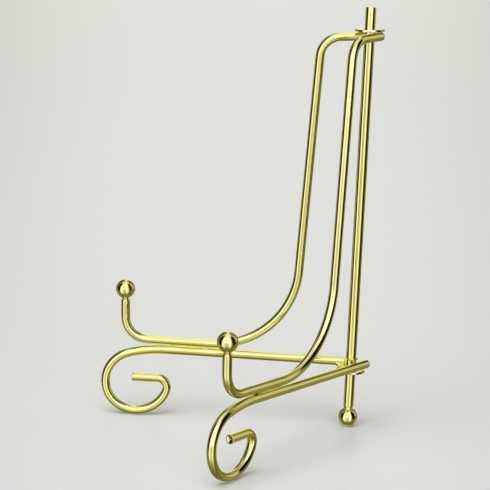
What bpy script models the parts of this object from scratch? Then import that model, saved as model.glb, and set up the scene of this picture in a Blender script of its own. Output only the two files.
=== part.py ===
"""Photo album stand: a folding easel of bent round wire on a rear post.

Two vertical wire halves open like a book about the post.  The left half is
joined to the post.  The right half is joined to two discs which turn on it.
Metres, +Z up, origin at the middle of the footprint on the table.
"""
import math

import bmesh
import bpy
from mathutils import Vector

# ---- stock ------------------------------------------------------------
WIRE_RADIUS = 0.0023
POST_RADIUS = 0.00265
BALL_RADIUS = 0.0050
DISC_RADIUS = 0.0075
DISC_THICKNESS = 0.0012
BEAD_RADIUS = 0.0005

# ---- fits -------------------------------------------------------------
GAP = 0.0003
SPIGOT_CLEARANCE = 0.0003

# ---- overall ----------------------------------------------------------
HEIGHT = 0.221
POST_ABOVE_DISC = 0.0109
HALF_OPENING = math.radians(27.3)

# ---- cradle wire, from the top joint outward and down --------------------
TOP_SLOPE = math.radians(4.2)
TOP_REACH = 0.0144
SHOULDER_BEND = 0.0108
UPRIGHT_LEAN = math.radians(2.7)
BACK_BEND = 0.0434
SEAT_PAST_RUN = 0.0112
SEAT_SLOPE = math.radians(1.5)
FRONT_BEND = 0.0125
TIP_LEAN = math.radians(1.8)
TIP_RISE = 0.0093

# ---- scroll wire, from the bottom joint outward ----------------------------
RUN_REACH = 0.0970
SCROLL_BENDS = (
    (0.0756, math.radians(16.3)),
    (0.0159, math.radians(131.8)),
    (0.0170, math.radians(103.9)),
    (0.0052, math.radians(109.0)),
)
SCROLL_TAIL = 0.0135

# ---- wire ends at the post ---------------------------------------------
DISC_SIDE_TOP_TAIL = 0.0027
DISC_SIDE_BOTTOM_TAIL = 0.0074
POST_SIDE_TAIL = 0.0020

# ---- turned ends -------------------------------------------------------
SPIGOT_RADIUS = 0.0017
POST_SPIGOT_RADIUS = 0.0021
SPIGOT_DEPTH = 0.0030
NECK_LENGTH = 0.0006
END_CHAMFER = 0.0004
RIM_CHAMFER = 0.0002

# ---- welds -------------------------------------------------------------
SEAM_END_MARGIN = 0.0020
POST_BEAD_RADIUS = 0.0006
POST_BEAD_HALF_HEIGHT = 0.0016
DISC_BEAD_HALF_LENGTH = 0.0015
DISC_BEAD_RIM_MARGIN = 0.0005

# ---- facets ------------------------------------------------------------
WIRE_BEVEL_RESOLUTION = 4
TURNED_SIDES = 32
BALL_SIDES = 24
BALL_STEPS = 11
BEAD_SIDES = 10
BEAD_STEPS = 8
SHOULDER_STEPS = 3
BEND_STEP = math.radians(7.0)
SHARP_ANGLE = math.radians(35.0)
MERGE_DISTANCE = 0.000001

# ---- sides, directions and tones ----------------------------------------
LEFT = -1.0
RIGHT = 1.0
UP = (0.0, 0.0, 1.0)
DOWN = (0.0, 0.0, -1.0)
BRIGHT = (0.82, 0.74, 0.30)
SOFT = (0.76, 0.69, 0.29)
WARM = (0.80, 0.64, 0.18)
PALE = (0.84, 0.79, 0.42)

# ---- derived sizes -----------------------------------------------------
PLANE_OFFSET = POST_RADIUS + GAP + WIRE_RADIUS
SEAM_SPACING = 2.0 * WIRE_RADIUS + GAP
TOP_DISC_TOP = HEIGHT - POST_ABOVE_DISC
TOP_DISC_UNDER = TOP_DISC_TOP - DISC_THICKNESS
TOP_JOINT_Z = TOP_DISC_UNDER - (GAP + WIRE_RADIUS) / math.cos(TOP_SLOPE)
FOOT_Z = BALL_RADIUS


def clear_scene():
    for obj in list(bpy.data.objects):
        bpy.data.objects.remove(obj, do_unlink=True)


# ---- wire paths in the plane of one half: (reach, height, heading) -------
def straight(path, length):
    """Run straight on from the end of the path."""
    reach, height, heading = path[-1]
    path.append((reach + length * math.cos(heading), height + length * math.sin(heading), heading))


def bend(path, radius, angle):
    """Bend the path; a positive angle turns upward from an outward heading."""
    reach, height, heading = path[-1]
    side = math.copysign(1.0, angle)
    centre_reach = reach - side * radius * math.sin(heading)
    centre_height = height + side * radius * math.cos(heading)
    steps = max(2, math.ceil(abs(angle) / BEND_STEP))
    for step in range(1, steps + 1):
        turned = heading + angle * step / steps
        path.append((
            centre_reach + side * radius * math.sin(turned),
            centre_height - side * radius * math.cos(turned),
            turned,
        ))


def shift_path(path, rise):
    return [(reach, height + rise, heading) for reach, height, heading in path]


def scroll_path(tail):
    """Bottom joint, straight run, scroll foot that just reaches the table."""
    start = -tail * math.cos(SEAT_SLOPE)
    path = [(start, start * math.tan(SEAT_SLOPE), SEAT_SLOPE)]
    straight(path, (RUN_REACH - start) / math.cos(SEAT_SLOPE))
    for radius, angle in SCROLL_BENDS:
        bend(path, radius, -angle)
    straight(path, SCROLL_TAIL)
    lowest = min(height for _, height, _ in path)
    return shift_path(path, WIRE_RADIUS - lowest)


def run_height(reach):
    """Centre height of the straight run of the scroll wire at one reach."""
    start_reach, start_height, _ = scroll_path(0.0)[0]
    return start_height + (reach - start_reach) * math.tan(SEAT_SLOPE)


def top_height(reach):
    """Centre height of the cradle wire's top reach, which falls outward."""
    return TOP_JOINT_Z - reach * math.tan(TOP_SLOPE)


def back_path(tail):
    """Top joint, upright and back bend, ending where the seat starts."""
    down = UPRIGHT_LEAN - math.pi / 2.0
    path = [(-tail, top_height(-tail), -TOP_SLOPE)]
    straight(path, (tail + TOP_REACH) / math.cos(TOP_SLOPE))
    bend(path, SHOULDER_BEND, down + TOP_SLOPE)
    upright_start = path[-1]
    turn = SEAT_SLOPE - down
    bend_reach = BACK_BEND * (math.sin(SEAT_SLOPE) - math.sin(down))
    bend_rise = BACK_BEND * (math.cos(down) - math.cos(SEAT_SLOPE))
    level = SEAM_SPACING / math.cos(SEAT_SLOPE)
    # the upright's length brings the seat one wire and a gap above the run
    slope = math.tan(SEAT_SLOPE)
    over = upright_start[1] + bend_rise - run_height(upright_start[0] + bend_reach) - level
    length = over / (math.cos(UPRIGHT_LEAN) + slope * math.sin(UPRIGHT_LEAN))
    straight(path, length)
    bend(path, BACK_BEND, turn)
    return path


def cradle_path(tail):
    """Back, seat on the run, front bend and tip rise."""
    path = back_path(tail)
    straight(path, (RUN_REACH + SEAT_PAST_RUN - path[-1][0]) / math.cos(SEAT_SLOPE))
    bend(path, FRONT_BEND, math.pi / 2.0 - TIP_LEAN - SEAT_SLOPE)
    straight(path, TIP_RISE)
    return path


# ---- placing -------------------------------------------------------------
def footprint_front():
    reach = max(point[0] for point in scroll_path(0.0)) + WIRE_RADIUS
    return reach * math.cos(HALF_OPENING) - PLANE_OFFSET * math.sin(HALF_OPENING)


def footprint_rear():
    corner = PLANE_OFFSET + WIRE_RADIUS
    return DISC_SIDE_BOTTOM_TAIL * math.cos(HALF_OPENING) + corner * math.sin(HALF_OPENING)


POST_Y = (footprint_front() - footprint_rear()) / 2.0


def add_object(name, data, parent):
    obj = bpy.data.objects.new(name, data)
    bpy.context.scene.collection.objects.link(obj)
    obj.parent = parent
    return obj


def make_half_frame(name, side):
    """Empty on the post's axis; local X runs outward in the half's plane."""
    empty = add_object(name, None, None)
    empty.location = (0.0, POST_Y, 0.0)
    empty.rotation_euler = (0.0, 0.0, side * HALF_OPENING - math.pi / 2.0)
    return empty


# ---- builders --------------------------------------------------------------
def metal(name, colour):
    """Polished plated metal in one tone."""
    material = bpy.data.materials.new(name + "_metal")
    material.use_nodes = True
    shader = material.node_tree.nodes["Principled BSDF"]
    shader.inputs["Base Color"].default_value = (*colour, 1.0)
    shader.inputs["Metallic"].default_value = 1.0
    shader.inputs["Roughness"].default_value = 0.16
    return material


def shade(obj):
    bpy.context.view_layer.objects.active = obj
    obj.select_set(True)
    bpy.ops.object.shade_smooth()
    obj.data.set_sharp_from_angle(angle=SHARP_ANGLE)
    obj.select_set(False)


def wire(name, half, side, stations, colour):
    """Round wire: a bevelled curve in the half's plane, one radius per point."""
    curve = bpy.data.curves.new(name, "CURVE")
    curve.dimensions = "3D"
    curve.bevel_depth = WIRE_RADIUS
    curve.bevel_resolution = WIRE_BEVEL_RESOLUTION
    curve.use_fill_caps = True
    spline = curve.splines.new("POLY")
    spline.points.add(len(stations) - 1)
    for point, (reach, height, radius) in zip(spline.points, stations):
        point.co = (reach, side * PLANE_OFFSET, height, 1.0)
        point.radius = radius / WIRE_RADIUS
    curve.materials.append(metal(name, colour))
    return add_object(name, curve, half)


def turned(name, parent, place, direction, profile, sides, colour):
    """Solid spun about local Z from a (radius, height) profile."""
    shape = bmesh.new()
    outline = [shape.verts.new((radius, 0.0, height)) for radius, height in profile]
    closed = profile[0][0] > 0.0
    ends = zip(outline, outline[1:] + outline[:1]) if closed else zip(outline, outline[1:])
    edges = [shape.edges.new(pair) for pair in ends]
    bmesh.ops.spin(
        shape,
        geom=outline + edges,
        cent=(0.0, 0.0, 0.0),
        axis=(0.0, 0.0, 1.0),
        angle=2.0 * math.pi,
        steps=sides,
        use_merge=True,
    )
    bmesh.ops.remove_doubles(shape, verts=shape.verts, dist=MERGE_DISTANCE)
    bmesh.ops.recalc_face_normals(shape, faces=shape.faces)
    mesh = bpy.data.meshes.new(name)
    shape.to_mesh(mesh)
    shape.free()
    mesh.materials.append(metal(name, colour))
    obj = add_object(name, mesh, parent)
    obj.location = place
    obj.rotation_euler = Vector(direction).to_track_quat("Z", "Y").to_euler()
    shade(obj)
    return obj


def advance(point, length):
    reach, height, heading = point
    return (reach + length * math.cos(heading), height + length * math.sin(heading), heading)


def station(point, radius):
    return (point[0], point[1], radius)


def cut_start(path):
    """Square cut end with a small broken edge."""
    chamfer_end = advance(path[0], END_CHAMFER)
    return [station(path[0], WIRE_RADIUS - END_CHAMFER), station(chamfer_end, WIRE_RADIUS)]


def cut_end(path):
    chamfer_start = advance(path[-1], -END_CHAMFER)
    return [station(chamfer_start, WIRE_RADIUS), station(path[-1], WIRE_RADIUS - END_CHAMFER)]


def spigot_end(path):
    """Rounded shoulder, then the thin spigot that enters a ball."""
    drop = WIRE_RADIUS - SPIGOT_RADIUS
    stations = []
    for step in range(SHOULDER_STEPS + 1):
        angle = math.pi / 2.0 * step / SHOULDER_STEPS
        along = advance(path[-1], drop * (math.sin(angle) - 1.0))
        stations.append(station(along, SPIGOT_RADIUS + drop * math.cos(angle)))
    stations.append(station(advance(path[-1], NECK_LENGTH + SPIGOT_DEPTH), SPIGOT_RADIUS))
    return stations


def wire_body(path):
    return [station(point, WIRE_RADIUS) for point in path[1:-1]]


# ---- parts ---------------------------------------------------------------
def make_post():
    """Straight round post with a spigot for its foot ball."""
    ball_top = FOOT_Z + BALL_RADIUS
    drop = POST_RADIUS - POST_SPIGOT_RADIUS
    profile = [(0.0, ball_top - SPIGOT_DEPTH), (POST_SPIGOT_RADIUS, ball_top - SPIGOT_DEPTH)]
    for step in range(SHOULDER_STEPS + 1):
        angle = math.pi / 2.0 * step / SHOULDER_STEPS
        height = ball_top + NECK_LENGTH + drop * (1.0 - math.cos(angle))
        profile.append((POST_SPIGOT_RADIUS + drop * math.sin(angle), height))
    profile.append((POST_RADIUS, HEIGHT - END_CHAMFER))
    profile.append((POST_RADIUS - END_CHAMFER, HEIGHT))
    profile.append((0.0, HEIGHT))
    turned("post_rod", None, (0.0, POST_Y, 0.0), UP, profile, TURNED_SIDES, BRIGHT)


def make_ball(name, parent, centre, direction, spigot_radius, colour):
    """Ball with a blind hole for its spigot, opposite to direction."""
    bore = spigot_radius + SPIGOT_CLEARANCE
    mouth = math.asin(bore / BALL_RADIUS)
    floor = SPIGOT_DEPTH + SPIGOT_CLEARANCE - BALL_RADIUS
    profile = [(0.0, floor), (bore, floor)]
    for step in range(BALL_STEPS):
        angle = mouth + (math.pi - mouth) * step / BALL_STEPS
        profile.append((BALL_RADIUS * math.sin(angle), -BALL_RADIUS * math.cos(angle)))
    profile.append((0.0, BALL_RADIUS))
    turned(name, parent, centre, direction, profile, BALL_SIDES, colour)


def make_tip_ball(name, half, side, colour):
    centre = advance(cradle_path(0.0)[-1], NECK_LENGTH + BALL_RADIUS)
    direction = (math.cos(centre[2]), 0.0, math.sin(centre[2]))
    place = (centre[0], side * PLANE_OFFSET, centre[1])
    make_ball(name, half, place, direction, SPIGOT_RADIUS, colour)


def make_cradle(name, half, side, tail, colour):
    path = cradle_path(tail)
    wire(name, half, side, cut_start(path) + wire_body(path) + spigot_end(path), colour)


def make_scroll(name, half, side, tail, colour):
    path = scroll_path(tail)
    wire(name, half, side, cut_start(path) + wire_body(path) + cut_end(path), colour)


def make_disc(name, hinge, under, slope, colour):
    """Flat disc with a round hole for the post, lying along its wire's slope."""
    hole = POST_RADIUS / math.cos(slope) + 0.5 * DISC_THICKNESS * math.sin(slope) + GAP
    profile = [
        (hole, 0.0),
        (DISC_RADIUS - RIM_CHAMFER, 0.0),
        (DISC_RADIUS, RIM_CHAMFER),
        (DISC_RADIUS, DISC_THICKNESS - RIM_CHAMFER),
        (DISC_RADIUS - RIM_CHAMFER, DISC_THICKNESS),
        (hole, DISC_THICKNESS),
    ]
    normal = (math.sin(slope), 0.0, math.cos(slope))
    turned(name, hinge, (0.0, 0.0, under), normal, profile, TURNED_SIDES, colour)


def make_bead(name, half, place, direction, half_length, radius):
    """Weld bead: a slim body with round ends."""
    profile = [(0.0, -half_length)]
    for step in range(1, BEAD_STEPS):
        angle = math.pi * step / BEAD_STEPS
        profile.append((radius * math.sin(angle), -half_length * math.cos(angle)))
    profile.append((0.0, half_length))
    turned(name, half, place, direction, profile, BEAD_SIDES, WARM)


def make_seam_bead(name, half, side, face):
    """Bead in the groove between the seat and the run, on one face."""
    spread = WIRE_RADIUS + GAP + BEAD_RADIUS
    lift = math.sqrt(spread ** 2 - (SEAM_SPACING / 2.0) ** 2)
    seat_start = back_path(0.0)[-1][0]
    centre = (seat_start + RUN_REACH) / 2.0
    half_length = (RUN_REACH - seat_start) / 2.0 / math.cos(SEAT_SLOPE) - SEAM_END_MARGIN
    middle = run_height(centre) + SEAM_SPACING / 2.0 / math.cos(SEAT_SLOPE)
    place = (centre, side * (PLANE_OFFSET + face * lift), middle)
    direction = (math.cos(SEAT_SLOPE), 0.0, math.sin(SEAT_SLOPE))
    make_bead(name, half, place, direction, half_length, BEAD_RADIUS)


def make_post_bead(name, half, side, height):
    """Bead in front of the post where a left wire lies against it."""
    from_post = POST_RADIUS + GAP + POST_BEAD_RADIUS
    offset = PLANE_OFFSET - WIRE_RADIUS - GAP - POST_BEAD_RADIUS
    reach = math.sqrt(from_post ** 2 - offset ** 2)
    place = (reach, side * offset, height)
    make_bead(name, half, place, UP, POST_BEAD_HALF_HEIGHT, POST_BEAD_RADIUS)


def make_disc_bead(name, half, side, wire_height, disc_face, slope):
    """Bead in the corner between a right wire and the face of its disc."""
    toward = math.copysign(1.0, disc_face - wire_height)
    height = disc_face - toward * (GAP + BEAD_RADIUS)
    spread = WIRE_RADIUS + GAP + BEAD_RADIUS
    offset = PLANE_OFFSET - math.sqrt(spread ** 2 - (height - wire_height) ** 2)
    rim = DISC_RADIUS - RIM_CHAMFER - DISC_BEAD_RIM_MARGIN
    reach = math.sqrt(rim ** 2 - offset ** 2) - DISC_BEAD_HALF_LENGTH
    place = (reach, side * offset, height - reach * math.tan(slope))
    direction = (math.cos(slope), 0.0, -math.sin(slope))
    make_bead(name, half, place, direction, DISC_BEAD_HALF_LENGTH, BEAD_RADIUS)


def main():
    clear_scene()
    left = make_half_frame("left_half_frame", LEFT)
    right = make_half_frame("right_half_hinge", RIGHT)
    bottom_joint = run_height(0.0)
    bottom_disc_top = run_height(-DISC_SIDE_BOTTOM_TAIL) - WIRE_RADIUS - GAP
    make_post()
    make_ball("foot_ball", None, (0.0, POST_Y, FOOT_Z), DOWN, POST_SPIGOT_RADIUS, BRIGHT)
    make_cradle("left_cradle_wire", left, LEFT, POST_SIDE_TAIL, BRIGHT)
    make_scroll("left_scroll_wire", left, LEFT, POST_SIDE_TAIL, BRIGHT)
    make_tip_ball("left_tip_ball", left, LEFT, BRIGHT)
    make_cradle("right_cradle_wire", right, RIGHT, DISC_SIDE_TOP_TAIL, SOFT)
    make_scroll("right_scroll_wire", right, RIGHT, DISC_SIDE_BOTTOM_TAIL, SOFT)
    make_tip_ball("right_tip_ball", right, RIGHT, SOFT)
    make_disc("top_hinge_disc", right, TOP_DISC_UNDER, TOP_SLOPE, PALE)
    make_disc("bottom_hinge_disc", right, bottom_disc_top - DISC_THICKNESS, 0.0, PALE)
    make_post_bead("left_top_post_weld", left, LEFT, TOP_JOINT_Z)
    make_post_bead("left_bottom_post_weld", left, LEFT, bottom_joint)
    make_disc_bead("right_top_disc_weld", right, RIGHT, TOP_JOINT_Z, TOP_DISC_UNDER, TOP_SLOPE)
    make_disc_bead("right_bottom_disc_weld", right, RIGHT, bottom_joint, bottom_disc_top, 0.0)
    for half, side, label in ((left, LEFT, "left"), (right, RIGHT, "right")):
        make_seam_bead(label + "_seam_weld_outer", half, side, 1.0)
        make_seam_bead(label + "_seam_weld_inner", half, side, -1.0)


main()
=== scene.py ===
import math

import bmesh
import bpy
import numpy as np
from mathutils import Matrix, Vector


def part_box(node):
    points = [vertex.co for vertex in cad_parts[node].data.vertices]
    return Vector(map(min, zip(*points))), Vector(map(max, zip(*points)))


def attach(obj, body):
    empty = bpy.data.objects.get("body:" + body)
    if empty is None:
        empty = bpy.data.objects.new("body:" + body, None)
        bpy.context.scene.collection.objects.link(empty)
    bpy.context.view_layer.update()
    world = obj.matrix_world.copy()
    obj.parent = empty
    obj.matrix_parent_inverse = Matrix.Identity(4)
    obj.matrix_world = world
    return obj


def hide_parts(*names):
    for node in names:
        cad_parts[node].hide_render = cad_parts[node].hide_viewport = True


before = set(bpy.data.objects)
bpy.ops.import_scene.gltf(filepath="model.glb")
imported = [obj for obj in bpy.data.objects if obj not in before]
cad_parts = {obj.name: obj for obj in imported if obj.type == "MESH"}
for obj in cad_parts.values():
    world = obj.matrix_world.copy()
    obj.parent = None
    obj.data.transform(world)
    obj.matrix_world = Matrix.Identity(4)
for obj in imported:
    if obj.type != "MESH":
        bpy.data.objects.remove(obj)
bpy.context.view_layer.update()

# ---- the stand's own sizes, in metres and radians; round stock by its radius -----
WIRE = 0.0023
POST = 0.00265
BALL = 0.0050
DISC = 0.0075
DISC_THICK = 0.0012
GAP = 0.0003
HEIGHT = 0.221
POST_ABOVE_DISC = 0.0109
OPENING = math.radians(27.3)
PLANE = POST + GAP + WIRE

# cradle wire, from the top joint outward and down
TOP_SLOPE = math.radians(4.2)
TOP_REACH = 0.0144
SHOULDER_BEND = 0.0108
UPRIGHT_LEAN = math.radians(2.7)
BACK_BEND = 0.0434
SEAT_SLOPE = math.radians(1.5)
SEAT_PAST_RUN = 0.0112
FRONT_BEND = 0.0125
TIP_LEAN = math.radians(1.8)
TIP_RISE = 0.0093
TOP_DISC_UNDER = HEIGHT - POST_ABOVE_DISC - DISC_THICK
TOP_JOINT = TOP_DISC_UNDER - (GAP + WIRE) / math.cos(TOP_SLOPE)

# scroll wire, from the bottom joint outward; bends are (radius, degrees)
RUN_REACH = 0.0970
SCROLL_BENDS = ((0.0756, 16.3), (0.0159, 131.8), (0.0170, 103.9), (0.0052, 109.0))
SCROLL_TAIL = 0.0135

# wire ends past the post's middle
TOP_TAIL = 0.0027
BOTTOM_TAIL = 0.0074
POST_TAIL = 0.0020

# turned ends and the balls' mouths
SPIGOT = 0.0017
POST_SPIGOT = 0.0021
NECK = 0.0006
SPIGOT_INTO_BALL = 0.0012
MOUTH_SHARE = 1.14
WORKED_END = 0.0009

# brazed fillets
SEAM_START = 0.0752
SEAM_STOP = 0.0968
SEAM_FILLET = 0.00068
POST_FILLET = 0.00095
DISC_FILLET = 0.00072
RUN_FILLET = 0.00085
COLLAR_FILLET = 0.00075

# facets
BEND_STEP = math.radians(2.0)
STRAIGHT_STEP = 0.0016
WIRE_SIDES = 48
POST_SIDES = 64
POST_STEPS = 120
BALL_SIDES = 72
BALL_STEPS = 44
DISC_SIDES = 96
FILLET_SIDES = 20

LEFT = -1.0
RIGHT = 1.0
ROOT = "left_half_and_post"
SWING = "right_half"

post_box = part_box("post_rod")
POST_Y = (post_box[0].y + post_box[1].y) / 2.0


# ---- centre lines in the plane of one half --------------------------------
def straight(path, length):
    """Run on; each point is (reach, height, heading, bend curvature)."""
    reach, height, heading, _ = path[-1]
    steps = max(1, round(length / STRAIGHT_STEP))
    for step in range(1, steps + 1):
        run = length * step / steps
        path.append((reach + run * math.cos(heading), height + run * math.sin(heading), heading, 0.0))


def bend(path, radius, angle):
    """Bend; a positive angle turns upward from an outward heading."""
    reach, height, heading, _ = path[-1]
    side = math.copysign(1.0, angle)
    centre = (reach - side * radius * math.sin(heading), height + side * radius * math.cos(heading))
    steps = max(3, math.ceil(abs(angle) / BEND_STEP))
    for step in range(1, steps + 1):
        turned = heading + angle * step / steps
        path.append((
            centre[0] + side * radius * math.sin(turned),
            centre[1] - side * radius * math.cos(turned),
            turned,
            side / radius,
        ))


def scroll_path(tail):
    """Bottom joint, straight run and scroll foot, lifted to stand on the floor."""
    start = -tail * math.cos(SEAT_SLOPE)
    path = [(start, start * math.tan(SEAT_SLOPE), SEAT_SLOPE, 0.0)]
    straight(path, (RUN_REACH - start) / math.cos(SEAT_SLOPE))
    for radius, angle in SCROLL_BENDS:
        bend(path, radius, -math.radians(angle))
    straight(path, SCROLL_TAIL)
    rise = WIRE - min(point[1] for point in path)
    return [(reach, height + rise, heading, curve) for reach, height, heading, curve in path]


def run_height(reach):
    """Height of the straight run's centre line."""
    first = scroll_path(0.0)[0]
    return first[1] + (reach - first[0]) * math.tan(SEAT_SLOPE)


def cradle_path(tail):
    """Top joint, shoulder, upright, back bend, seat, front bend and riser."""
    down = UPRIGHT_LEAN - math.pi / 2.0
    path = [(-tail, TOP_JOINT + tail * math.tan(TOP_SLOPE), -TOP_SLOPE, 0.0)]
    straight(path, (tail + TOP_REACH) / math.cos(TOP_SLOPE))
    bend(path, SHOULDER_BEND, down + TOP_SLOPE)
    bend_reach = BACK_BEND * (math.sin(SEAT_SLOPE) - math.sin(down))
    bend_rise = BACK_BEND * (math.cos(down) - math.cos(SEAT_SLOPE))
    level = (2.0 * WIRE + GAP) / math.cos(SEAT_SLOPE)
    over = path[-1][1] + bend_rise - run_height(path[-1][0] + bend_reach) - level
    straight(path, over / (math.cos(UPRIGHT_LEAN) + math.tan(SEAT_SLOPE) * math.sin(UPRIGHT_LEAN)))
    bend(path, BACK_BEND, SEAT_SLOPE - down)
    straight(path, (RUN_REACH + SEAT_PAST_RUN - path[-1][0]) / math.cos(SEAT_SLOPE))
    bend(path, FRONT_BEND, math.pi / 2.0 - TIP_LEAN - SEAT_SLOPE)
    straight(path, TIP_RISE)
    return path


def to_world(side, reach, offset, height):
    """Plane coordinates of one half to the row frame."""
    out = Vector((side * math.sin(OPENING), -math.cos(OPENING), 0.0))
    aside = Vector((math.cos(OPENING), side * math.sin(OPENING), 0.0)) * side
    return reach * out + offset * aside + Vector((0.0, POST_Y, height))


def direction_of(side, heading):
    """World direction of a heading in one half's plane."""
    flat = to_world(side, math.cos(heading), 0.0, math.sin(heading))
    return flat - Vector((0.0, POST_Y, 0.0))


# ---- mesh helpers ----------------------------------------------------------
def finish_mesh(name, verts, faces, uvs, material, body, nodes):
    """Make the object, ride it on its body and hide the CAD nodes it stands for."""
    mesh = bpy.data.meshes.new(name)
    mesh.from_pydata(verts, [], faces)
    layer = mesh.uv_layers.new(name="UVMap")
    flat = np.array([uv for face in uvs for uv in face], np.float32)
    layer.data.foreach_set("uv", flat.ravel())
    mesh.polygons.foreach_set("use_smooth", [True] * len(mesh.polygons))
    mesh.materials.append(material)
    mesh.update()
    shape = bmesh.new()
    shape.from_mesh(mesh)
    bmesh.ops.recalc_face_normals(shape, faces=shape.faces)
    shape.to_mesh(mesh)
    shape.free()
    mesh.set_sharp_from_angle(angle=math.radians(50.0))
    obj = bpy.data.objects.new(name, mesh)
    bpy.context.scene.collection.objects.link(obj)
    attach(obj, body)
    if nodes:
        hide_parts(*nodes)


def skin_rings(rings, lengths, sides):
    """Faces and UVs over closed rings; one vertex closes each end."""
    verts = [tuple(point) for ring in rings for point in ring]
    faces, uvs = [], []
    for i in range(len(rings) - 1):
        for j in range(sides):
            k = (j + 1) % sides
            faces.append((i * sides + j, i * sides + k, (i + 1) * sides + k, (i + 1) * sides + j))
            low, high = j / sides, (j + 1) / sides
            uvs.append(((lengths[i], low), (lengths[i], high), (lengths[i + 1], high), (lengths[i + 1], low)))
    for ring_at, length, flip in ((0, lengths[0], True), (len(rings) - 1, lengths[-1], False)):
        centre = sum((Vector(point) for point in rings[ring_at]), Vector()) / sides
        verts.append(tuple(centre))
        tip = len(verts) - 1
        for j in range(sides):
            k = (j + 1) % sides
            a, b = ring_at * sides + j, ring_at * sides + k
            faces.append((b, a, tip) if flip else (a, b, tip))
            uvs.append(((length, j / sides), (length, (j + 1) / sides), (length, j / sides)))
    return verts, faces, uvs


def ripple(along, around, seed):
    """Slow unevenness of drawn and bent stock, as a share of its radius."""
    a = math.sin(along * 190.0 + seed) * math.sin(along * 71.0 + 1.7 * seed)
    b = math.sin(along * 330.0 + 2.0 * around + seed * 2.3)
    return 0.0011 * a + 0.0006 * b


CUT_END = (
    # (back from the end, share of the radius) of a sheared and barrel-polished end
    (0.00040, 1.0), (0.00028, 0.996), (0.00018, 0.983), (0.00010, 0.960), (0.00004, 0.925),
    (0.00001, 0.880), (0.00000, 0.820), (0.00003, 0.680), (0.00010, 0.520), (0.00018, 0.340),
    (0.00030, 0.200), (0.00046, 0.120), (0.00052, 0.050),
)


def shoulder_stations(radius, spigot, neck, into):
    """(past the path's end, radius): rounded shoulder, neck and flare into a ball."""
    drop = radius - spigot
    stations = []
    for step in range(9):
        angle = math.pi / 2.0 * step / 8.0
        stations.append((drop * (math.sin(angle) - 1.0), spigot + drop * math.cos(angle)))
    stations.append((neck * 0.30, spigot * 0.995))
    stations.append((neck * 0.65, spigot * 1.005))
    stations.append((neck * 0.90, spigot * 1.045))
    stations.append((neck * 1.10, spigot * 1.120))
    stations.append((neck + into, spigot * 1.120))
    return stations


def wire_piece(name, node, body, side, path, has_ball, material, seed):
    """Bent round wire with ovalised bends, uneven draw and worked ends."""
    stations = []
    length = 0.0
    for i, point in enumerate(path):
        if i:
            length += math.dist(point[:2], path[i - 1][:2])
        stations.append([point[0], point[1], point[2], point[3], WIRE, length])
    total = stations[-1][5]
    # curvature eases in and out over a few millimetres
    curve = np.array([s[3] for s in stations])
    at = np.array([s[5] for s in stations])
    eased = [float(np.average(curve, weights=np.exp(-(((at - x) / 0.0022) ** 2)))) for x in at]
    for s, k in zip(stations, eased):
        s[3] = k

    def beyond(s, shift, radius, bevel):
        reach, height = s[0] + shift * math.cos(s[2]), s[1] + shift * math.sin(s[2])
        return [reach, height, s[2], 0.0, radius, s[5] + shift, bevel]

    body_stations = [s + [0.0] for s in stations]
    start, end = stations[0], stations[-1]
    first = [beyond(start, back, WIRE * share, 1.0) for back, share in reversed(CUT_END)]
    body_stations = first + [s for s in body_stations if s[5] > WORKED_END]
    if has_ball:
        shoulder = shoulder_stations(WIRE, SPIGOT, NECK, SPIGOT_INTO_BALL)
        last = [beyond(end, shift, radius, 0.0) for shift, radius in shoulder]
        shoulder_start = total - (WIRE - SPIGOT) - 0.0003
        body_stations = [s for s in body_stations if s[5] < shoulder_start] + last
    else:
        last = [beyond(end, -back, WIRE * share, 1.0) for back, share in CUT_END]
        body_stations = [s for s in body_stations if s[5] < total - WORKED_END] + last
    rings = []
    lengths = []
    for reach, height, heading, curvature, radius, along, bevel in body_stations:
        share = min(1.0, abs(curvature) * WIRE)
        in_plane = 1.0 - 0.13 * share
        across = 1.0 + 0.06 * share
        ring = []
        for j in range(WIRE_SIDES):
            around = 2.0 * math.pi * j / WIRE_SIDES
            grow = 1.0 + ripple(along, around, seed) * (1.0 - bevel)
            up = radius * grow * in_plane * math.cos(around)
            aside = radius * grow * across * math.sin(around)
            # metal crowds to the inside of a bend
            up -= math.copysign(0.10 * share * radius, -curvature) * 0.5 * (1.0 - math.cos(around) ** 2)
            ring.append(to_world(
                side,
                reach - up * math.sin(heading),
                PLANE + aside,
                height + up * math.cos(heading),
            ))
        rings.append(ring)
        lengths.append(along)
    verts, faces, uvs = skin_rings(rings, lengths, WIRE_SIDES)
    finish_mesh(name, verts, faces, uvs, material, body, [node])


def turned_piece(name, node, body, place, direction, profile, sides, material, seed, wobble=0.0015):
    """Spun piece from an open (height, radius) profile along its own axis."""
    turn = Vector(direction).to_track_quat("Z", "Y")
    rings, lengths = [], []
    travelled = 0.0
    for i, (height, radius) in enumerate(profile):
        if i:
            travelled += math.dist(profile[i], profile[i - 1])
        ring = []
        for j in range(sides):
            around = 2.0 * math.pi * j / sides
            grow = 1.0 + wobble * math.sin(2.0 * around + seed) * math.sin(travelled * 300.0 + seed)
            local = Vector((radius * grow * math.cos(around), radius * grow * math.sin(around), height))
            ring.append(turn @ local + Vector(place))
        rings.append(ring)
        lengths.append(travelled)
    verts, faces, uvs = skin_rings(rings, lengths, sides)
    finish_mesh(name, verts, faces, uvs, material, body, [node])


def ball_profile(bore):
    """Turned ball: countersunk mouth, then the polished sphere."""
    mouth = math.asin((bore + 0.00025) / BALL)
    profile = [(-BALL * 0.80, bore * 0.9), (-BALL * math.cos(mouth) + 0.00008, bore)]
    for step in range(BALL_STEPS + 1):
        angle = mouth + (math.pi - 0.02 - mouth) * step / BALL_STEPS
        profile.append((-BALL * math.cos(angle), BALL * math.sin(angle)))
    return profile


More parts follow.
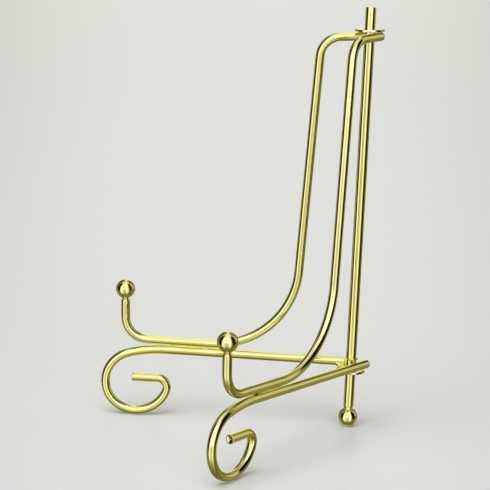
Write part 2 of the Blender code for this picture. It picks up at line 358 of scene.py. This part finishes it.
def disc_piece(name, node, under, slope, rolled_up, material, seed):
    """Stamped washer: die-rolled edges on one face, a fine burr on the other."""
    hole = POST / math.cos(slope) + 0.5 * DISC_THICK * math.sin(slope) + GAP
    centre = Vector((0.0, POST_Y, under))
    level = to_world(RIGHT, 0.0, 1.0, under) - centre
    normal = to_world(RIGHT, math.sin(slope), 0.0, under + math.cos(slope)) - centre
    falling = level.cross(normal)
    thick = DISC_THICK
    outer = [
        (0.0, DISC - 0.00008), (0.00012, DISC), (0.00060, DISC),
        (0.00088, DISC - 0.00004), (0.00104, DISC - 0.00014), (0.00114, DISC - 0.00030),
        (0.00119, DISC - 0.00055), (thick, DISC - 0.00085),
    ]
    inner = [
        (thick, hole + 0.00070), (0.00117, hole + 0.00034), (0.00108, hole + 0.00013),
        (0.00092, hole + 0.00003), (0.00070, hole), (0.00010, hole), (0.0, hole + 0.00008),
    ]
    middle_top = [(thick, DISC - 0.0016), (thick, DISC - 0.0026), (thick, DISC - 0.0036)]
    middle_low = [(0.0, hole + 0.0012), (0.0, hole + 0.0024), (0.0, DISC - 0.0012)]
    loop = outer + middle_top + inner + middle_low
    if not rolled_up:
        loop = [(thick - height, radius) for height, radius in loop]
    verts, faces, uvs = [], [], []
    count = len(loop)
    for i in range(DISC_SIDES):
        around = 2.0 * math.pi * i / DISC_SIDES
        for height, radius in loop:
            flat = (radius - hole) / (DISC - hole)
            sag = 0.00003 * math.sin(2.0 * around + seed) * flat
            flat_place = radius * math.cos(around) * falling + radius * math.sin(around) * level
            verts.append(tuple(centre + flat_place + (height + sag) * normal))
    for i in range(DISC_SIDES):
        k = (i + 1) % DISC_SIDES
        for j in range(count):
            m = (j + 1) % count
            faces.append((i * count + j, k * count + j, k * count + m, i * count + m))
            arms = [Vector(verts[corner]) - centre for corner in faces[-1]]
            uvs.append(tuple((arm.dot(falling), arm.dot(level)) for arm in arms))
    finish_mesh(name, verts, faces, uvs, material, SWING, [node])


def fillet_piece(name, nodes, side, points, width, material, seed):
    """Brazed fillet: a tapering lumpy strand that lies in a groove.

    points are (reach, offset, height) in the half's plane, and width is its radius.
    """
    rings, lengths = [], []
    travelled = 0.0
    count = len(points)
    for i, point in enumerate(points):
        if i:
            travelled += math.dist(point, points[i - 1])
        share = i / (count - 1)
        taper = max(0.02, math.sin(math.pi * share) ** 0.45) if 0.0 < share < 1.0 else 0.02
        ahead = Vector(points[min(i + 1, count - 1)]) - Vector(points[max(i - 1, 0)])
        ahead.normalize()
        across = ahead.orthogonal().normalized()
        other = ahead.cross(across)
        ring = []
        for j in range(FILLET_SIDES):
            around = 2.0 * math.pi * j / FILLET_SIDES
            beads = 0.05 * math.sin(travelled * 1100.0 + seed)
            lobes = 0.03 * math.sin(3.0 * around + travelled * 900.0 + seed)
            radius = width * taper * (1.0 + beads + lobes)
            local = Vector(point) + across * radius * math.cos(around) + other * radius * math.sin(around)
            ring.append(to_world(side, local.x, local.y, local.z))
        rings.append(ring)
        lengths.append(travelled)
    verts, faces, uvs = skin_rings(rings, lengths, FILLET_SIDES)
    body = ROOT if side == LEFT else SWING
    finish_mesh(name, verts, faces, uvs, material, body, nodes)


# ---- materials -------------------------------------------------------------
def plated(name, bright, warm, rough_low, rough_high, line_bump, seed, ripple_bump=0.06):
    """Polished plated metal: drawn lines, faint haze, handling scratches and wear."""
    material = bpy.data.materials.new(name)
    material.use_nodes = True
    tree = material.node_tree
    nodes, links = tree.nodes, tree.links
    shader = nodes["Principled BSDF"]
    shader.inputs["Metallic"].default_value = 1.0
    coords = nodes.new("ShaderNodeTexCoord")

    def mapped(output, scale, shift=0.0):
        mapping = nodes.new("ShaderNodeMapping")
        mapping.inputs["Scale"].default_value = scale
        mapping.inputs["Location"].default_value = (shift, shift * 0.7, shift * 1.3)
        links.new(coords.outputs[output], mapping.inputs["Vector"])
        return mapping.outputs["Vector"]

    def noise(vector, scale, detail, rough=0.5):
        texture = nodes.new("ShaderNodeTexNoise")
        texture.inputs["Scale"].default_value = scale
        texture.inputs["Detail"].default_value = detail
        texture.inputs["Roughness"].default_value = rough
        links.new(vector, texture.inputs["Vector"])
        return texture.outputs["Fac"]

    def remap(value, low, high, to_low, to_high):
        node = nodes.new("ShaderNodeMapRange")
        node.inputs["From Min"].default_value = low
        node.inputs["From Max"].default_value = high
        node.inputs["To Min"].default_value = to_low
        node.inputs["To Max"].default_value = to_high
        links.new(value, node.inputs["Value"])
        return node.outputs["Result"]

    def math_node(kind, a, b):
        node = nodes.new("ShaderNodeMath")
        node.operation = kind
        for socket, value in zip(node.inputs, (a, b)):
            if isinstance(value, float):
                socket.default_value = value
            else:
                links.new(value, socket)
        return node.outputs["Value"]

    def mix_colour(factor, a, b):
        node = nodes.new("ShaderNodeMix")
        node.data_type = "RGBA"
        links.new(factor, node.inputs["Factor"])
        for socket, value in ((node.inputs["A"], a), (node.inputs["B"], b)):
            if isinstance(value, tuple):
                socket.default_value = (*value, 1.0)
            else:
                links.new(value, socket)
        return node.outputs["Result"]

    lines = noise(mapped("UV", (60.0, 90.0, 1.0), seed), 1.0, 4.0, 0.6)
    haze = noise(mapped("Object", (1.0, 1.0, 1.0), seed), 130.0, 3.0, 0.55)
    cloud = noise(mapped("Object", (1.0, 1.0, 1.0), seed + 3.0), 45.0, 2.0, 0.5)
    fine = noise(mapped("Object", (1.0, 1.0, 1.0), seed + 5.0), 900.0, 3.0, 0.6)
    # thin handling scratches: where a stretched noise crosses its middle value
    scratch_field = noise(mapped("Object", (420.0, 90.0, 200.0), seed + 9.0), 1.0, 2.0, 0.4)
    crossing = math_node("ABSOLUTE", math_node("SUBTRACT", scratch_field, 0.5), 0.0)
    scratch = remap(crossing, 0.0, 0.006, 1.0, 0.0)
    sparse = remap(cloud, 0.50, 0.62, 0.0, 1.0)
    scratch = math_node("MULTIPLY", scratch, sparse)
    # colour: slightly warmer in the haze, paler where edges are rubbed
    tint = mix_colour(remap(cloud, 0.35, 0.68, 0.0, 1.0), bright, warm)
    geometry = nodes.new("ShaderNodeNewGeometry")
    edge = remap(geometry.outputs["Pointiness"], 0.52, 0.60, 0.0, 0.5)
    pale = tuple(min(1.0, channel * 1.05 + 0.04) for channel in bright)
    tint = mix_colour(edge, tint, pale)
    dull = tuple(channel * 0.86 for channel in warm)
    tint = mix_colour(math_node("MULTIPLY", scratch, 0.45), tint, dull)
    links.new(tint, shader.inputs["Base Color"])
    rough = remap(haze, 0.30, 0.70, rough_low, rough_high)
    rough = math_node("ADD", rough, remap(lines, 0.35, 0.75, 0.0, 0.035))
    rough = math_node("ADD", rough, math_node("MULTIPLY", scratch, 0.22))
    links.new(rough, shader.inputs["Roughness"])
    # bump: long die lines, slow polishing ripple, scratches
    bump_lines = nodes.new("ShaderNodeBump")
    bump_lines.inputs["Strength"].default_value = line_bump
    bump_lines.inputs["Distance"].default_value = 0.00003
    links.new(lines, bump_lines.inputs["Height"])
    bump_wave = nodes.new("ShaderNodeBump")
    bump_wave.inputs["Strength"].default_value = ripple_bump
    bump_wave.inputs["Distance"].default_value = 0.00008
    links.new(haze, bump_wave.inputs["Height"])
    links.new(bump_lines.outputs["Normal"], bump_wave.inputs["Normal"])
    bump_fine = nodes.new("ShaderNodeBump")
    bump_fine.inputs["Strength"].default_value = 0.10
    bump_fine.inputs["Distance"].default_value = 0.00001
    links.new(math_node("SUBTRACT", fine, scratch), bump_fine.inputs["Height"])
    links.new(bump_wave.outputs["Normal"], bump_fine.inputs["Normal"])
    links.new(bump_fine.outputs["Normal"], shader.inputs["Normal"])
    return material


GOLD = (0.890, 0.878, 0.395)
GOLD_WARM = (0.875, 0.845, 0.335)
SOFT_GOLD = (0.870, 0.860, 0.420)
SOFT_WARM = (0.855, 0.835, 0.370)
wire_gold = plated("wire_gold", GOLD, GOLD_WARM, 0.03, 0.06, 0.18, 0.0)
wire_soft = plated("wire_soft_gold", SOFT_GOLD, SOFT_WARM, 0.06, 0.10, 0.18, 4.0)
post_gold = plated("post_gold", GOLD, GOLD_WARM, 0.03, 0.06, 0.22, 8.0)
ball_gold = plated("ball_gold", GOLD, GOLD_WARM, 0.02, 0.05, 0.04, 12.0, 0.03)
ball_soft = plated("ball_soft_gold", SOFT_GOLD, SOFT_WARM, 0.11, 0.16, 0.04, 16.0, 0.03)
# washers: plated metal whose base colour is made paler and whiter than the gold; that extra paleness is a
# painted highlight standing in for the white sheen of the lit top washer
disc_plate = plated("disc_plate", (0.90, 0.89, 0.66), (0.88, 0.86, 0.56), 0.08, 0.15, 0.20, 20.0)
braze = plated("braze_fillet", (0.88, 0.76, 0.13), (0.84, 0.69, 0.08), 0.10, 0.20, 0.15, 24.0, 0.4)
seam_braze = plated("seam_fillet", (0.87, 0.84, 0.36), (0.85, 0.81, 0.30), 0.08, 0.16, 0.15, 28.0, 0.3)

# ---- the stand -------------------------------------------------------------
for side, label, body, top_tail, bottom_tail, metal, ball_metal in (
    (LEFT, "left", ROOT, POST_TAIL, POST_TAIL, wire_gold, ball_gold),
    (RIGHT, "right", SWING, TOP_TAIL, BOTTOM_TAIL, wire_soft, ball_soft),
):
    cradle = cradle_path(top_tail)
    scroll = scroll_path(bottom_tail)
    wire_piece(label + "_cradle", label + "_cradle_wire", body, side, cradle, True, metal, 1.0 + side)
    wire_piece(label + "_scroll", label + "_scroll_wire", body, side, scroll, False, metal, 4.0 + side)
    tip = cradle[-1]
    reach = tip[0] + (NECK + BALL) * math.cos(tip[2])
    height = tip[1] + (NECK + BALL) * math.sin(tip[2])
    centre = to_world(side, reach, PLANE, height)
    turned_piece(label + "_ball", label + "_tip_ball", body, centre, direction_of(side, tip[2]),
                 ball_profile(SPIGOT * MOUTH_SHARE), BALL_SIDES, ball_metal, 2.0 + side)

post_profile = []
foot_top = 2.0 * BALL
shoulder = shoulder_stations(POST, POST_SPIGOT, NECK, SPIGOT_INTO_BALL)
for shift, radius in reversed(shoulder):
    post_profile.append((foot_top + NECK - shift, radius))
post_low = foot_top + NECK + SPIGOT_INTO_BALL
for step in range(1, POST_STEPS):
    post_profile.append((post_low + (HEIGHT - WORKED_END - post_low) * step / POST_STEPS, POST))
for back, share in CUT_END:
    post_profile.append((HEIGHT - back, POST * share))
turned_piece("post", "post_rod", ROOT, (0.0, POST_Y, 0.0), (0.0, 0.0, 1.0),
             post_profile, POST_SIDES, post_gold, 1.3, 0.0010)
turned_piece("foot", "foot_ball", ROOT, (0.0, POST_Y, BALL), (0.0, 0.0, -1.0),
             ball_profile(POST_SPIGOT * MOUTH_SHARE), BALL_SIDES, ball_gold, 3.1)

bottom_disc_top = run_height(-BOTTOM_TAIL) - WIRE - GAP
disc_piece("top_disc", "top_hinge_disc", TOP_DISC_UNDER, TOP_SLOPE, True, disc_plate, 0.6)
disc_piece("bottom_disc", "bottom_hinge_disc", bottom_disc_top - DISC_THICK, 0.0, False, disc_plate, 1.9)


# ---- brazed fillets: strands of (reach, offset, height) --------------------
def strand(count, point_at):
    """Points of a strand; point_at takes the share of the way along it."""
    return [point_at(step / count) for step in range(count + 1)]


def seam_point(share, face):
    """In the groove between seat and run, on the outer or the inner face."""
    reach = SEAM_START + (SEAM_STOP - SEAM_START) * share
    return reach, PLANE + face * 0.00120, run_height(reach) + (2.0 * WIRE + GAP) / 2.0


def run_under_point(share):
    """Under the end of the left run, towards the post."""
    return 0.0072 - 0.0048 * share, PLANE - 0.0009 - 0.0012 * share, joint - 0.0021 + 0.0003 * share


def collar_point(share):
    """Round the front of the post, above the swinging wire."""
    turned = math.radians(52.0 - 164.0 * share)
    radius = POST + 0.00015
    height = joint + WIRE + 0.0013 - 0.0004 * math.sin(math.pi * share)
    return radius * math.sin(turned), -radius * math.cos(turned), height


def disc_point(share, face, toward, slope):
    """In the groove between a right wire and its disc."""
    reach = 0.0015 + 0.0040 * share
    return reach, PLANE - 0.00175, face - toward * 0.00052 - reach * math.tan(slope)


for side, label in ((LEFT, "left"), (RIGHT, "right")):
    for face, word in ((1.0, "outer"), (-1.0, "inner")):
        points = strand(60, lambda share: seam_point(share, face))
        fillet_piece(f"{label}_seam_fillet_{word}", [f"{label}_seam_weld_{word}"], side, points,
                     SEAM_FILLET, seam_braze, face + side)

joint = run_height(0.0)
for label, height in (("top", TOP_JOINT), ("bottom", joint)):
    points = strand(24, lambda share: (0.0026, 0.0021, height + 0.0019 * (2.0 * share - 1.0)))
    fillet_piece(f"left_{label}_post_fillet", [f"left_{label}_post_weld"], LEFT, points,
                 POST_FILLET, braze, 2.0)
fillet_piece("left_bottom_run", [], LEFT, strand(30, run_under_point), RUN_FILLET, braze, 6.0)
fillet_piece("left_bottom_collar", [], LEFT, strand(40, collar_point), COLLAR_FILLET, braze, 7.0)

for label, height, face, slope in (
    ("top", TOP_JOINT, TOP_DISC_UNDER, TOP_SLOPE),
    ("bottom", joint, bottom_disc_top, 0.0),
):
    toward = math.copysign(1.0, face - height)
    points = strand(30, lambda share: disc_point(share, face, toward, slope))
    fillet_piece(f"right_{label}_disc_fillet", [f"right_{label}_disc_weld"], RIGHT, points,
                 DISC_FILLET, braze, 5.0)


# ---- floor -----------------------------------------------------------------
FLOOR_RADIUS = 57.0
SURROUND_RADIUS = 58.0


def pale_floor():
    """Round plain floor; the polished metal doesn't reflect it."""
    mesh = bpy.data.meshes.new("studio_floor")
    rings = [0.0, 0.2, 0.5, 1.0, 2.0, 5.0, 15.0, FLOOR_RADIUS]
    sides = 64
    verts = [(0.0, 0.0, 0.0)]
    faces = []
    for radius in rings[1:]:
        for j in range(sides):
            around = 2.0 * math.pi * j / sides
            verts.append((radius * math.cos(around), radius * math.sin(around), 0.0))
    for j in range(sides):
        faces.append((0, 1 + j, 1 + (j + 1) % sides))
    for i in range(len(rings) - 2):
        low, high = 1 + i * sides, 1 + (i + 1) * sides
        for j in range(sides):
            k = (j + 1) % sides
            faces.append((low + j, high + j, high + k, low + k))
    mesh.from_pydata(verts, [], faces)
    material = bpy.data.materials.new("pale_floor")
    material.use_nodes = True
    tree = material.node_tree
    shader = tree.nodes["Principled BSDF"]
    shader.inputs["Roughness"].default_value = 0.42
    noise = tree.nodes.new("ShaderNodeTexNoise")
    noise.inputs["Scale"].default_value = 6.0
    ramp = tree.nodes.new("ShaderNodeMix")
    ramp.data_type = "RGBA"
    ramp.inputs["A"].default_value = (0.675, 0.690, 0.735, 1.0)
    ramp.inputs["B"].default_value = (0.705, 0.720, 0.765, 1.0)
    tree.links.new(noise.outputs["Fac"], ramp.inputs["Factor"])
    tree.links.new(ramp.outputs["Result"], shader.inputs["Base Color"])
    mesh.materials.append(material)
    obj = bpy.data.objects.new("studio_floor", mesh)
    bpy.context.scene.collection.objects.link(obj)
    obj.visible_glossy = False


pale_floor()

# ---- camera ----------------------------------------------------------------
TARGET = Vector((0.0, -0.014, 0.110))
AZIMUTH = math.radians(62.17)
ELEVATION = math.radians(9.63)
PAN = math.radians(-0.01)
TILT = math.radians(0.67)
ROLL = math.radians(2.50)
DISTANCE = 0.7464
# focal length as a share of the frame's width
FOCAL = 3.041837
SENSOR_WIDTH = 36.0

camera = bpy.data.cameras.new("camera")
camera.sensor_fit = "HORIZONTAL"
camera.sensor_width = SENSOR_WIDTH
camera.lens = SENSOR_WIDTH * FOCAL
camera.clip_start = 0.01
camera.clip_end = 200.0
eye = bpy.data.objects.new("camera", camera)
bpy.context.scene.collection.objects.link(eye)


def around(azimuth, elevation):
    """Direction from the stand towards a place round it."""
    flat = math.cos(elevation)
    return Vector((math.sin(azimuth) * flat, -math.cos(azimuth) * flat, math.sin(elevation)))


forward = -around(AZIMUTH + PAN, ELEVATION + TILT)
level = forward.cross(Vector((0.0, 0.0, 1.0))).normalized()
upright = level.cross(forward)
across = math.cos(ROLL) * level + math.sin(ROLL) * upright
above = -math.sin(ROLL) * level + math.cos(ROLL) * upright
pose = Matrix((across, above, -forward)).transposed().to_4x4()
pose.translation = TARGET + DISTANCE * around(AZIMUTH, ELEVATION)
eye.matrix_world = pose
bpy.context.scene.camera = eye


# ---- light -----------------------------------------------------------------
# Radiance round the horizon, by the angle in degrees to the right of the camera's side:
# two broad softboxes in front, dimmer ones beside and behind, and dark gaps between them.
SOFTBOX_RING = (
    (-180.0, 0.80), (-172.0, 0.62), (-164.0, 0.12), (-150.0, 0.10), (-136.0, 0.11), (-126.0, 0.26),
    (-112.0, 0.26), (-101.0, 0.03), (-78.0, 0.0), (-68.0, 0.07), (-59.0, 0.80), (-50.0, 1.00), (-40.0, 0.96),
    (-28.0, 0.66), (-12.0, 0.52), (2.0, 0.50), (11.0, 0.66), (20.0, 0.96), (28.0, 1.00), (36.0, 0.86),
    (47.0, 0.34), (58.0, 0.03), (80.0, 0.0), (96.0, 0.03), (105.0, 0.19), (118.0, 0.20), (129.0, 0.11),
    (150.0, 0.10), (164.0, 0.12), (172.0, 0.62), (180.0, 0.80),
)
# Share of that ring and the plain light by height above the horizon, in degrees.
RING_BY_HEIGHT = (
    (-90.0, 0.0), (-66.0, 0.10), (-44.0, 0.42), (-24.0, 0.92), (44.0, 1.0), (60.0, 0.72), (70.0, 0.36),
    (82.0, 0.08), (90.0, 0.0),
)
PLAIN_BY_HEIGHT = (
    (-90.0, 0.13), (-62.0, 0.14), (-44.0, 0.14), (-28.0, 0.11), (-19.0, 0.08), (-13.0, 0.015), (-8.0, 0.006),
    (40.0, 0.006), (50.0, 0.05), (60.0, 0.26), (70.0, 0.62), (90.0, 0.84),
)
# Two further panels, each by turn and by height: one over the gap in front, one to the side.
PANELS = (
    (((-180.0, 0.0), (-46.0, 0.0), (-26.0, 1.0), (24.0, 1.0), (40.0, 0.0), (180.0, 0.0)),
     ((-90.0, 0.0), (-7.0, 0.0), (4.0, 1.0), (48.0, 1.0), (68.0, 0.0), (90.0, 0.0)), 0.45),
    (((-180.0, 0.0), (92.0, 0.0), (102.0, 1.0), (124.0, 1.0), (136.0, 0.0), (180.0, 0.0)),
     ((-90.0, 0.0), (-5.0, 0.0), (2.0, 1.0), (35.0, 1.0), (55.0, 0.0), (90.0, 0.0)), 0.34),
)
STUDIO_STRENGTH = 1.22
PALE = (0.70, 0.695, 0.685)


def studio_world():
    """Soft boxes and plain light as a world that the metal reflects."""
    world = bpy.data.worlds.new("studio")
    world.use_nodes = True
    tree = world.node_tree
    nodes, links = tree.nodes, tree.links
    coords = nodes.new("ShaderNodeTexCoord")

    def dot(axis):
        node = nodes.new("ShaderNodeVectorMath")
        node.operation = "DOT_PRODUCT"
        links.new(coords.outputs["Generated"], node.inputs[0])
        node.inputs[1].default_value = axis
        return node.outputs["Value"]

    def maths(kind, *values):
        node = nodes.new("ShaderNodeMath")
        node.operation = kind
        for socket, value in zip(node.inputs, values):
            if isinstance(value, float):
                socket.default_value = value
            else:
                links.new(value, socket)
        return node.outputs["Value"]

    def curve(value, low, high, stops):
        share = maths("DIVIDE", maths("SUBTRACT", value, low), high - low)
        node = nodes.new("ShaderNodeFloatCurve")
        links.new(share, node.inputs["Value"])
        line = node.mapping.curves[0]
        line.points[0].location = (0.0, stops[0][1])
        line.points[-1].location = (1.0, stops[-1][1])
        for at, level in stops[1:-1]:
            line.points.new((at - low) / (high - low), level)
        node.mapping.update()
        return node.outputs["Value"]

    toward = (math.sin(AZIMUTH), -math.cos(AZIMUTH), 0.0)
    right = (math.cos(AZIMUTH), math.sin(AZIMUTH), 0.0)
    turn = maths("MULTIPLY", maths("ARCTAN2", dot(right), dot(toward)), 180.0 / math.pi)
    lift = maths("MULTIPLY", maths("ARCSINE", dot((0.0, 0.0, 1.0))), 180.0 / math.pi)

    def by_place(turn_stops, lift_stops):
        return maths("MULTIPLY", curve(turn, -180.0, 180.0, turn_stops), curve(lift, -90.0, 90.0, lift_stops))

    level = maths("ADD", by_place(SOFTBOX_RING, RING_BY_HEIGHT), curve(lift, -90.0, 90.0, PLAIN_BY_HEIGHT))
    for turn_stops, lift_stops, gain in PANELS:
        level = maths("ADD", level, maths("MULTIPLY", by_place(turn_stops, lift_stops), gain))
    level = maths("MAXIMUM", level, 0.004)
    # dim levels are warmer than bright ones
    tint = nodes.new("ShaderNodeCombineColor")
    tint.inputs["Red"].default_value = 1.0
    links.new(maths("POWER", level, 0.09), tint.inputs["Green"])
    links.new(maths("POWER", level, 0.62), tint.inputs["Blue"])
    back = nodes["Background"]
    links.new(tint.outputs["Color"], back.inputs["Color"])
    links.new(maths("MULTIPLY", level, STUDIO_STRENGTH), back.inputs["Strength"])
    bpy.context.scene.world = world


def pale_dome():
    """Plain surround behind the floor's edge, seen by the camera alone."""
    shape = bmesh.new()
    bmesh.ops.create_uvsphere(shape, u_segments=48, v_segments=24, radius=SURROUND_RADIUS)
    mesh = bpy.data.meshes.new("studio_surround")
    shape.to_mesh(mesh)
    shape.free()
    material = bpy.data.materials.new("studio_surround")
    material.use_nodes = True
    shader = material.node_tree.nodes["Principled BSDF"]
    shader.inputs["Base Color"].default_value = (0.0, 0.0, 0.0, 1.0)
    shader.inputs["Specular IOR Level"].default_value = 0.0
    shader.inputs["Emission Color"].default_value = (*PALE, 1.0)
    shader.inputs["Emission Strength"].default_value = 1.0
    mesh.materials.append(material)
    obj = bpy.data.objects.new("studio_surround", mesh)
    bpy.context.scene.collection.objects.link(obj)
    obj.visible_diffuse = False
    obj.visible_glossy = False
    obj.visible_transmission = False
    obj.visible_shadow = False


def overhead():
    """Broad overhead light for the floor and its soft shadows."""
    data = bpy.data.lights.new("overhead", "SUN")
    data.energy = 1.60
    data.angle = math.radians(48.0)
    obj = bpy.data.objects.new("overhead", data)
    bpy.context.scene.collection.objects.link(obj)
    direction = around(AZIMUTH - math.radians(40.0), math.radians(66.0))
    obj.rotation_euler = (-direction).to_track_quat("-Z", "Y").to_euler()
    obj.visible_glossy = False


studio_world()
pale_dome()
overhead()
bpy.context.scene.view_settings.view_transform = "Standard"
